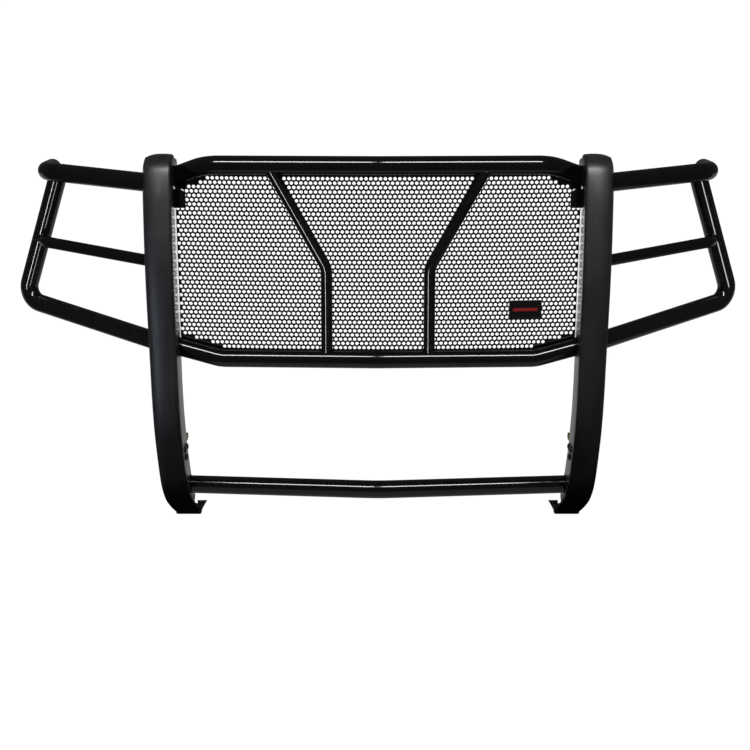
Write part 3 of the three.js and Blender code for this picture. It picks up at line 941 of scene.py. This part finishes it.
def ring_on(line_point, direction, radius, meets, count=64):
    """Points where the lines along a tube's surface meet something, given by meets(point, direction)."""
    direction = Vector(direction).normalized()
    side_way = direction.orthogonal().normalized()
    up_way = direction.cross(side_way)
    points = []
    for k in range(count):
        a = math.tau * k / count
        start = Vector(line_point) + radius * (side_way * math.cos(a) + up_way * math.sin(a))
        points.append(start + direction * meets(start, direction))
    return points


def meets_side(x):
    return lambda start, direction: (x - start.x) / direction.x


def meets_tube(first, second, radius):
    """How far a line runs before it reaches a straight tube from first to second."""
    axis = (Vector(second) - Vector(first)).normalized()

    def distance(start, direction):
        offset = start - Vector(first)
        offset -= axis * offset.dot(axis)
        across = direction - axis * direction.dot(axis)
        a, b, c = across.dot(across), 2 * offset.dot(across), offset.dot(offset) - radius**2
        root = math.sqrt(max(0.0, b * b - 4 * a * c))
        return (-b - root) / (2 * a)

    return distance


def weld(points):
    curve = bpy.data.curves.new("joint", "CURVE")
    curve.dimensions = "3D"
    spline = curve.splines.new("POLY")
    spline.points.add(len(points) - 1)
    for spot, point in zip(spline.points, points):
        spot.co = (*point, 1)
    spline.use_cyclic_u = True
    return cook(weld_bead, curve, gloss_black)


# %% Weld beads on every joint
def run(corners, first, second):
    """The straight run between two corners, as a point and a direction."""
    start, end = Vector(corners[first]), Vector(corners[second])
    return start, end - start


def side_weld(corners, first, second, radius, x):
    start, direction = run(corners, first, second)
    return weld(ring_on(start, direction, radius, meets_side(x)))


def tube_weld(corners, first, second, radius, onto, onto_radius):
    start, direction = run(corners, first, second)
    return weld(ring_on(start, direction, radius, meets_tube(*onto, onto_radius)))


frame_welds = joined(
    side_weld(top_corners, 3, 4, TUBE_RADIUS, PLATE_INNER_X),
    side_weld(lower_corners, 3, 4, TUBE_RADIUS, PLATE_INNER_X),
    side_weld(bottom_corners, 1, 2, CROSSBAR_RADIUS, PLATE_INNER_X),
    tube_weld(strut_corners, 1, 0, ROD_RADIUS, top_corners[2:4], TUBE_RADIUS),
    tube_weld(strut_corners, 1, 2, ROD_RADIUS, lower_corners[2:4], TUBE_RADIUS),
)
wing_welds = joined(
    side_weld(wing_top_corners, 1, 0, TUBE_RADIUS, PLATE_OUTER_X),
    side_weld(wing_loop_corners, 1, 0, TUBE_RADIUS, PLATE_OUTER_X),
    side_weld(wing_middle_corners, 1, 0, ROD_RADIUS, PLATE_OUTER_X),
    tube_weld(wing_loop_corners, 1, 2, TUBE_RADIUS, wing_top_corners[:2], TUBE_RADIUS),
    tube_weld(wing_middle_corners, 1, 2, ROD_RADIUS, wing_loop_corners[1:], TUBE_RADIUS),
)
to_pair("frame_welds", frame_welds, gloss_black, "guard", [])
to_pair("wing_welds", wing_welds, gloss_black, "guard", [])

# %% [markdown]
# ## Brackets
#
# Inside each channel a long flat bracket takes the slot screws. Behind, it bends outwards a little, and an angle
# bracket is bolted to its tail. The long bracket is cut flat with its holes, scored across where it bends, and then
# folded, exactly as in the workshop.

# %% Long brackets, folded
BRACKET = 6.0
BRACKET_X = PLATE_INNER_X + PLATE + SEAT_GAP
BRACKET_OUT_X = BRACKET_X + BRACKET
BEND_Y = 192.0
BEND_ANGLE = 0.2
BEND_HALF = 5.0
TAIL = 82.0
SCREW_RADIUS = 5.0
HOLE_PLAY = 0.3
TAIL_HOLES = [(20, 326), (20, 292), (52, 308)]
BRACKET_OUTLINE = [(86, 337), (86, 321.8), (110, 281), (BEND_Y + TAIL, 281), (BEND_Y + TAIL, 337)]
TAIL_FRAME = Matrix.Translation((BRACKET_OUT_X, BEND_Y, 0)) @ Matrix.Rotation(-BEND_ANGLE, 4, "Z")


def fold(shape):
    """Turns what lies behind the bend outwards about the bracket's outboard face."""
    for vertex in shape.verts:
        share = min(1.0, max(0.0, (vertex.co.y - BEND_Y + BEND_HALF) / (2 * BEND_HALF)))
        if share > 0:
            pivot = Vector((BRACKET_OUT_X, BEND_Y, 0))
            vertex.co = pivot + Matrix.Rotation(-BEND_ANGLE * share, 3, "Z") @ (vertex.co - pivot)


def long_bracket():
    holes = [circle(spot, SCREW_RADIUS + HOLE_PLAY) for spot in SLOTS]
    holes += [circle((BEND_Y + y, z), SCREW_RADIUS + HOLE_PLAY) for y, z in TAIL_HOLES]
    shape = bmesh.new()
    shape.from_mesh(side_plate([rounded(BRACKET_OUTLINE, 4), *holes], BRACKET_X, BRACKET))
    for k in range(5):
        score = BEND_Y + BEND_HALF * (k / 2 - 1)
        everything = [*shape.verts, *shape.edges, *shape.faces]
        bmesh.ops.bisect_plane(
            shape, geom=everything, dist=1e-4, plane_co=(0, score, 0), plane_no=(0, 1, 0),
        )
    fold(shape)
    return to_mesh(shape)


to_pair("frame_bracket", long_bracket(), satin_black, "frame_mounts", ["long_bracket"])

# %% [markdown]
# The angle bracket is rolled section, so its two legs meet in a rounded inside corner. Its holes go through in two
# directions, so they are drilled with boolean cutters. The brace is a flat bar with a bent tab at each end.

# %% Angle brackets and braces
WEB = 5.0
FLANGE_Z = 250.0
FLANGE_TOP = FLANGE_Z + WEB
BOLT_RADIUS = 6.0
LONG_BOLT_AT = (26.0, 34.0)
BRACE = 4.0
BRACE_WIDTH = 22.0


def drill(mesh, axis, spots, radius):
    """Bores holes right through along X or Z. Each spot is a point on the hole's axis."""
    block = bpy.data.objects.new("block", mesh)
    bits = bmesh.new()
    for spot in spots:
        place = Matrix.Translation(spot)
        if axis == "X":
            place = place @ Matrix.Rotation(math.pi / 2, 4, "Y")
        bmesh.ops.create_cone(
            bits, cap_ends=True, segments=28, radius1=radius, radius2=radius, depth=50, matrix=place,
        )
    bit = bpy.data.objects.new("bit", to_mesh(bits))
    for item in (block, bit):
        bpy.context.scene.collection.objects.link(item)
    modifier = block.modifiers.new("drill", "BOOLEAN")
    modifier.object = bit
    modifier.operation = "DIFFERENCE"
    modifier.solver = "EXACT"
    bpy.context.view_layer.update()
    drilled = bpy.data.meshes.new_from_object(block.evaluated_get(bpy.context.evaluated_depsgraph_get()))
    for item in (block, bit):
        bpy.data.objects.remove(item)
    return drilled


def angle_bracket():
    legs = [(SEAT_GAP, FLANGE_Z), (46, FLANGE_Z), (46, FLANGE_TOP)]
    legs += arc((SEAT_GAP + WEB + 5, FLANGE_TOP + 5), 5, -math.pi / 2, -math.pi, 6)
    legs += [(SEAT_GAP + WEB, 334), (SEAT_GAP, 334)]
    section = plate([legs], 60, 0.6)
    section.transform(Matrix.Translation((0, 64, 0)) @ FRONT_VIEW)
    web_spots = [(0, y, z) for y, z in TAIL_HOLES]
    bored = drill(section, "X", web_spots, SCREW_RADIUS + HOLE_PLAY)
    bored = drill(bored, "Z", [(*LONG_BOLT_AT, FLANGE_Z)], BOLT_RADIUS + HOLE_PLAY)
    bored.transform(TAIL_FRAME)
    return bored


def brace_bar():
    plan = [
        (SEAT_GAP, 106), (SEAT_GAP, 132), (11, 150), (12, 215), (12.9, 226.1), (19.3, 257.5), (23.2, 256.7),
        (16.8, 225.4), (16, 214), (15, 148.5), (SEAT_GAP + BRACE, 129.5), (SEAT_GAP + BRACE, 106),
    ]
    bar = plate([[(BRACKET_OUT_X + x, y) for x, y in plan]], BRACE_WIDTH, 0.4)
    front_y, front_z = SLOTS[1]
    slope = (TAIL_HOLES[2][1] - front_z) / (243 - front_y)
    shear = Matrix.Identity(4)
    shear[2][1] = slope
    bar.transform(Matrix.Translation((0, 0, front_z - BRACE_WIDTH / 2 - slope * front_y)) @ shear)
    tail_spot = TAIL_FRAME @ Vector((0, *TAIL_HOLES[2]))
    return drill(bar, "X", [(BRACKET_OUT_X, front_y, front_z), tail_spot], SCREW_RADIUS + HOLE_PLAY)


to_pair("angle_bracket", angle_bracket(), satin_black, "frame_mounts", ["lower_bracket"])
to_pair("brace_bar", brace_bar(), satin_black, "frame_mounts", ["brace"])

# %% [markdown]
# ## Fasteners
#
# A hexagon head or nut is a hexagonal bar whose corners are turned off on a lathe. The first recipe does the same:
# it crosses a six-sided prism with a turned, chamfered blank, and bores it if it is a nut. The second recipe makes a
# threaded shank, a helix of triangular wire on a core. Both drop their shape on every point of the start mesh, which
# holds one point for each fastener.

# %% Recipes for hexagons, shanks and washers
def on_every_point(r, shape):
    spots = r.node("GeometryNodeMeshToPoints", Mesh=r.inputs["Geometry"]).outputs[0]
    r.end(r.node("GeometryNodeInstanceOnPoints", Points=spots, Instance=shape).outputs[0])


def cylinder(r, radius, depth, sides, lift):
    solid = r.node("GeometryNodeMeshCylinder", {"fill_type": "NGON"}, Vertices=sides, Radius=radius,
                   Depth=depth).outputs[0]
    return r.node("GeometryNodeTransform", Geometry=solid, Translation=r.vector(z=lift)).outputs[0]


def cut_out(r, whole, cutter):
    node = r.tree.nodes.new("GeometryNodeMeshBoolean")
    node.operation = "DIFFERENCE"
    r.tree.links.new(whole, node.inputs["Mesh 1"])
    r.tree.links.new(cutter, node.inputs["Mesh 2"])
    return node.outputs[0]


def overlap_of(r, *parts):
    node = r.tree.nodes.new("GeometryNodeMeshBoolean")
    node.operation = "INTERSECT"
    for part in parts:
        r.tree.links.new(part, node.inputs["Mesh 2"])
    return node.outputs[0]


def hexagon_recipe(name, bored):
    r = Recipe(name, Corners=8.75, Height=8.0, Bore=5.0)
    height, corners = r.inputs["Height"], r.inputs["Corners"]
    middle = r.math("MULTIPLY", height, 0.5)
    prism = cylinder(r, corners, height, 6, middle)
    reach = r.math("ADD", r.math("MULTIPLY", corners, 0.89), r.math("MULTIPLY", height, 1.9))
    for flip in (1.0, -1.0):
        cone = r.node("GeometryNodeMeshCone", {"fill_type": "NGON"}, Vertices=48, Radius_Top=0.0,
                      Radius_Bottom=reach, Depth=r.math("MULTIPLY", reach, 0.52)).outputs[0]
        if flip < 0:
            cone = r.node("GeometryNodeTransform", Geometry=cone, Rotation=(math.pi, 0, 0)).outputs[0]
            lifted = height
        else:
            lifted = 0.0
        cone = r.node("GeometryNodeTransform", Geometry=cone, Translation=r.vector(z=lifted)).outputs[0]
        prism = overlap_of(r, prism, cone)
    if bored:
        bore = cylinder(r, r.inputs["Bore"], r.math("MULTIPLY", height, 3.0), 28, middle)
        prism = cut_out(r, prism, bore)
    on_every_point(r, prism)
    return r


def shank_recipe():
    r = Recipe("threaded_shank", Radius=5.0, Length=20.0, Pitch=1.5)
    turns = r.math("DIVIDE", r.math("SUBTRACT", r.inputs["Length"], r.inputs["Pitch"]), r.inputs["Pitch"])
    core_radius = r.math("SUBTRACT", r.inputs["Radius"], r.math("MULTIPLY", r.inputs["Pitch"], 0.5))
    core = cylinder(r, core_radius, r.inputs["Length"], 28, r.math("MULTIPLY", r.inputs["Length"], 0.5))
    helix = r.node("GeometryNodeCurveSpiral", Resolution=24, Rotations=turns, Start_Radius=core_radius,
                   End_Radius=core_radius, Height=r.math("MULTIPLY", turns, r.inputs["Pitch"])).outputs[0]
    wire = r.node("GeometryNodeCurvePrimitiveCircle", Resolution=4,
                  Radius=r.math("MULTIPLY", r.inputs["Pitch"], 0.48)).outputs[0]
    thread = r.node("GeometryNodeCurveToMesh", Curve=helix, Profile_Curve=wire, Fill_Caps=True).outputs[0]
    start = r.vector(z=r.math("MULTIPLY", r.inputs["Pitch"], 0.5))
    thread = r.node("GeometryNodeTransform", Geometry=thread, Translation=start).outputs[0]
    on_every_point(r, r.join(core, thread))
    return r


def washer_recipe():
    r = Recipe("washer", Outer=10.5, Bore=5.3, Thickness=2.0)
    middle = r.math("MULTIPLY", r.inputs["Thickness"], 0.5)
    disc = cylinder(r, r.inputs["Outer"], r.inputs["Thickness"], 40, middle)
    bore = cylinder(r, r.inputs["Bore"], r.math("MULTIPLY", r.inputs["Thickness"], 3.0), 28, middle)
    on_every_point(r, cut_out(r, disc, bore))
    return r


def socket_head_recipe():
    r = Recipe("socket_head", Radius=9.0, Height=5.0, Socket=3.6)
    height = r.inputs["Height"]
    dome_radius = r.math("MULTIPLY", r.inputs["Radius"], 1.06)
    dome = r.node("GeometryNodeMeshUVSphere", Segments=40, Rings=24, Radius=dome_radius)
    squash = r.math("DIVIDE", height, r.inputs["Radius"])
    flat = r.node("GeometryNodeTransform", Geometry=dome.outputs[0], Scale=r.vector(1.0, 1.0, squash))
    blank = cylinder(r, r.inputs["Radius"], height, 40, r.math("MULTIPLY", height, -0.5))
    head = overlap_of(r, blank, flat.outputs[0])
    socket = cylinder(r, r.inputs["Socket"], height, 6, r.math("MULTIPLY", height, -1.0))
    on_every_point(r, cut_out(r, head, socket))
    return r


hexagon_nut = hexagon_recipe("hexagon_nut", bored=True)
hexagon_head = hexagon_recipe("hexagon_head", bored=False)
threaded_shank = shank_recipe()
washer = washer_recipe()
socket_head = socket_head_recipe()
print("fastener recipes made")

# %% [markdown]
# The recipes work along +Z. A turn lays them along +X, through the side plates, and the tail's own frame carries the
# bolts behind the bend. Heads sit on the inner side of the plate and nuts on the bracket or on the brace's tab.

# %% Place the fasteners
ALONG_X = Matrix.Rotation(math.pi / 2, 4, "Y")
WASHER = 2.0
THREAD_PLAY = 0.2
HEAD_HEIGHT = 1.2
washer_x = PLATE_INNER_X - SEAT_GAP - WASHER
head_x = washer_x - SEAT_GAP
slot_nut_x = [BRACKET_OUT_X + SEAT_GAP + (BRACE + SEAT_GAP if i == 1 else 0) for i in range(3)]


def along_x(recipe, finish, points, frame_of=Matrix.Identity(4), **sizes):
    """Cooks a recipe at points given as (x, y, z) and turned along +X."""
    upright_points = [ALONG_X.inverted() @ Vector(point) for point in points]
    mesh = cook(recipe, points_mesh(upright_points), finish, **sizes)
    mesh.transform(frame_of @ ALONG_X)
    return clean(mesh, 1e-3)


slot_heads = along_x(socket_head, black_oxide, [(head_x, *spot) for spot in SLOTS])
slot_shanks = [
    along_x(threaded_shank, black_oxide, [(head_x, *spot)], Radius=SCREW_RADIUS - THREAD_PLAY,
            Length=nut_x + 11 - head_x)
    for spot, nut_x in zip(SLOTS, slot_nut_x)
]
numbered = (1, 2, 3)
to_pair("slot_screws", joined(slot_heads, *slot_shanks), black_oxide, "frame_mounts",
        [f"slot_screw_{i}" for i in numbered])
to_pair("slot_washers", along_x(washer, black_oxide, [(washer_x, *spot) for spot in SLOTS]), black_oxide,
        "frame_mounts", [f"slot_washer_{i}" for i in numbered])
slot_nuts = along_x(hexagon_nut, clear_zinc, [(x, *spot) for x, spot in zip(slot_nut_x, SLOTS)])
to_pair("slot_nuts", slot_nuts, clear_zinc, "frame_mounts",
        [f"slot_nut_{i}" for i in numbered])

tail_spots = [TAIL_HOLES[0], TAIL_HOLES[2]]
tail_head_x = -BRACKET - SEAT_GAP
tail_nut_x = [WEB + 2 * SEAT_GAP, WEB + 3 * SEAT_GAP + BRACE]
tail_head_height = SCREW_RADIUS * HEAD_HEIGHT
tail_head_places = [(tail_head_x - tail_head_height, *spot) for spot in tail_spots]
tail_heads = along_x(hexagon_head, yellow_zinc, tail_head_places, TAIL_FRAME, Height=tail_head_height)
tail_shanks = [
    along_x(threaded_shank, yellow_zinc, [(tail_head_x, *spot)], TAIL_FRAME,
            Radius=SCREW_RADIUS - THREAD_PLAY, Length=nut_x + 12 - tail_head_x)
    for spot, nut_x in zip(tail_spots, tail_nut_x)
]
to_pair("tail_bolts", joined(tail_heads, *tail_shanks), yellow_zinc, "frame_mounts",
        ["tail_bolt_1", "tail_bolt_2"])
tail_nut_places = [(x, *spot) for x, spot in zip(tail_nut_x, tail_spots)]
tail_nuts = along_x(hexagon_nut, clear_zinc, tail_nut_places, TAIL_FRAME)
to_pair("tail_nuts", tail_nuts, clear_zinc, "frame_mounts", ["tail_nut_1", "tail_nut_2"])


def upright_fastener(recipe, finish, z, **sizes):
    mesh = cook(recipe, points_mesh([(*LONG_BOLT_AT, z)]), finish, **sizes)
    mesh.transform(TAIL_FRAME)
    return clean(mesh, 1e-3)


bolt_seat = FLANGE_Z - SEAT_GAP
bolt_head = upright_fastener(hexagon_head, yellow_zinc, bolt_seat - BOLT_RADIUS * HEAD_HEIGHT,
                             Corners=BOLT_RADIUS * 1.75, Height=BOLT_RADIUS * HEAD_HEIGHT)
bolt_shank = upright_fastener(threaded_shank, yellow_zinc, bolt_seat, Radius=BOLT_RADIUS - THREAD_PLAY,
                              Length=92, Pitch=1.75)
to_pair("long_bolt", joined(bolt_head, bolt_shank), yellow_zinc, "frame_mounts",
        ["frame_bolt"])
long_nut = upright_fastener(hexagon_nut, clear_zinc, FLANGE_Z + 74, Corners=BOLT_RADIUS * 1.75,
                            Height=BOLT_RADIUS * 1.6, Bore=BOLT_RADIUS)
to_pair("long_bolt_nut", long_nut, clear_zinc, "frame_mounts", ["frame_nut"])

# %% [markdown]
# ## Studio
#
# Glossy black shows nothing but what it reflects, so the studio is mostly a matter of what there is to see in it.
# The floor and the wall round it glow evenly white, but only the camera sees them. The gloss sees a dim room, a
# bright floor behind the guard and a fainter patch of floor right under it, and a few narrow soft boxes that draw
# the thin lines along the tubes.

# %% Floor and walls
def glow(name, colour, strength):
    material = bpy.data.materials.new(name)
    material.use_nodes = True
    shader = material.node_tree.nodes["Principled BSDF"]
    shader.inputs["Base Color"].default_value = (0, 0, 0, 1)
    shader.inputs["Specular IOR Level"].default_value = 0.0
    shader.inputs["Emission Color"].default_value = (*colour, 1)
    shader.inputs["Emission Strength"].default_value = strength
    return material


def stage_piece(name, mesh, material, camera_sees, gloss_sees):
    mesh.materials.append(material)
    item = bpy.data.objects.new(name, mesh)
    bpy.context.scene.collection.objects.link(item)
    item.visible_camera = camera_sees
    item.visible_glossy = gloss_sees
    item.visible_diffuse = False
    item.visible_shadow = False
    item.visible_transmission = False
    return item


def rectangle(name, corners):
    mesh = bpy.data.meshes.new(name)
    mesh.from_pydata(corners, [], [range(len(corners))])
    return mesh


FLOOR = 30.0
floor_mesh = rectangle("floor", [(-FLOOR, -FLOOR, -0.001), (FLOOR, -FLOOR, -0.001), (FLOOR, FLOOR, -0.001),
                                 (-FLOOR, FLOOR, -0.001)])
studio_white = glow("studio_white", (1.0, 1.0, 1.0), 1.02)
stage_piece("floor", floor_mesh, studio_white, True, False)
wall = bmesh.new()
bmesh.ops.create_uvsphere(wall, u_segments=48, v_segments=24, radius=FLOOR * 0.98)
stage_piece("studio_wall", to_mesh(wall), studio_white, True, False)

back_low, back_far, back_wide = 0.35, 9.0, 5.0
back_floor = rectangle("back_floor", [(-back_wide, back_low, 0), (back_wide, back_low, 0),
                                      (back_wide, back_far, 0), (-back_wide, back_far, 0)])
stage_piece("back_floor", back_floor, glow("back_floor_light", (1.0, 1.0, 1.0), 0.5), False, True)
near_floor = rectangle("near_floor", [(-0.75, -0.85, 0), (1.5, -0.85, 0), (1.5, 0.3, 0), (-0.75, 0.3, 0)])
near_floor_light = glow("near_floor_light", (0.9, 0.95, 1.0), 0.36)
near_floor_item = stage_piece("near_floor", near_floor, near_floor_light, False, True)
print("studio pieces:", 4)

# %% [markdown]
# The two key strips hang in front, high up, and every crossbar shows them as one long line. An upright tube looks
# the other way, low and to the side, so its lines need strips of their own. Light linking keeps each strip on the
# tubes it is for, and keeps the soft boxes for the dull rubber off the gloss, where they would be ugly patches.

# %% Room light and soft boxes
room = bpy.data.worlds.new("room")
room.use_nodes = True
room.node_tree.nodes["Background"].inputs["Color"].default_value = (0.94, 0.97, 1.0, 1)
room.node_tree.nodes["Background"].inputs["Strength"].default_value = 0.08
bpy.context.scene.world = room


def soft_box(name, place, target, width, height, power, colour=(1, 1, 1)):
    light = bpy.data.lights.new(name, "AREA")
    light.shape = "RECTANGLE"
    light.size = width
    light.size_y = height
    light.energy = power
    light.color = colour
    lamp = bpy.data.objects.new(name, light)
    lamp.location = place
    lamp.rotation_euler = (Vector(target) - Vector(place)).to_track_quat("-Z", "Y").to_euler()
    lamp.visible_camera = False
    bpy.context.scene.collection.objects.link(lamp)
    return lamp


def shines_on(lamp, pieces, state="INCLUDE"):
    """Limits a light to some pieces, or with EXCLUDE keeps it off them."""
    receivers = bpy.data.collections.new(f"{lamp.name}_receivers")
    for piece in pieces:
        receivers.objects.link(bpy.data.objects[piece])
    for entry in receivers.collection_objects:
        entry.light_linking.link_state = state
    lamp.light_linking.receiver_collection = receivers


dull_pieces = [f"{name}_{side}" for name in ("rubber_face", "foot_curl") for side in ("right", "left")]
shines_on(near_floor_item, dull_pieces, "EXCLUDE")
for side in (1, -1):
    soft_box(f"key_strip_{side}", (side * 0.95, -3.2, 4.6), (side * 0.95, 0, 0.8), 1.5, 0.6, 90)
strut_strip = soft_box("strut_strip", (-1.3, -3.0, -0.1), (0, -0.2, 0.8), 0.2, 1.3, 32)
shines_on(strut_strip, ["strut_rod_right", "strut_rod_left"])
tall_strip = soft_box("tall_strip", (-2.35, -3.0, 0.6), (-0.9, 0, 0.9), 0.18, 1.1, 28)
shines_on(tall_strip, ["wing_loop_left"])
low_strip = soft_box("low_strip", (-0.15, -3.0, -0.1), (-0.9, 0, 0.9), 0.3, 0.9, 8)
shines_on(low_strip, ["wing_loop_left"])
side_strip = soft_box("side_strip", (1.95, -3.0, 0.3), (0.9, 0, 0.8), 0.55, 1.2, 34)
shines_on(side_strip, ["wing_loop_right"])
for side in (1, -1):
    face_top = soft_box(
        f"face_top_{side}", (side * 0.92, -2.5, 2.2), (side * 0.6, -0.2, 1.05), 0.5, 1.1, 14,
    )
    shines_on(face_top, dull_pieces)
back_window = soft_box("back_window", (0, 1.7, 0.55), (0, 0, 0.7), 2.6, 0.6, 13)
shines_on(back_window, ["channel_right", "channel_left"])
PALE_BLUE = (0.70, 0.78, 1.0)
blue_window = soft_box("blue_window", (-1.98, -2.4, -0.2), (-0.6, -0.2, 0.65), 0.25, 0.8, 9, PALE_BLUE)
shines_on(blue_window, ["rubber_face_left"])
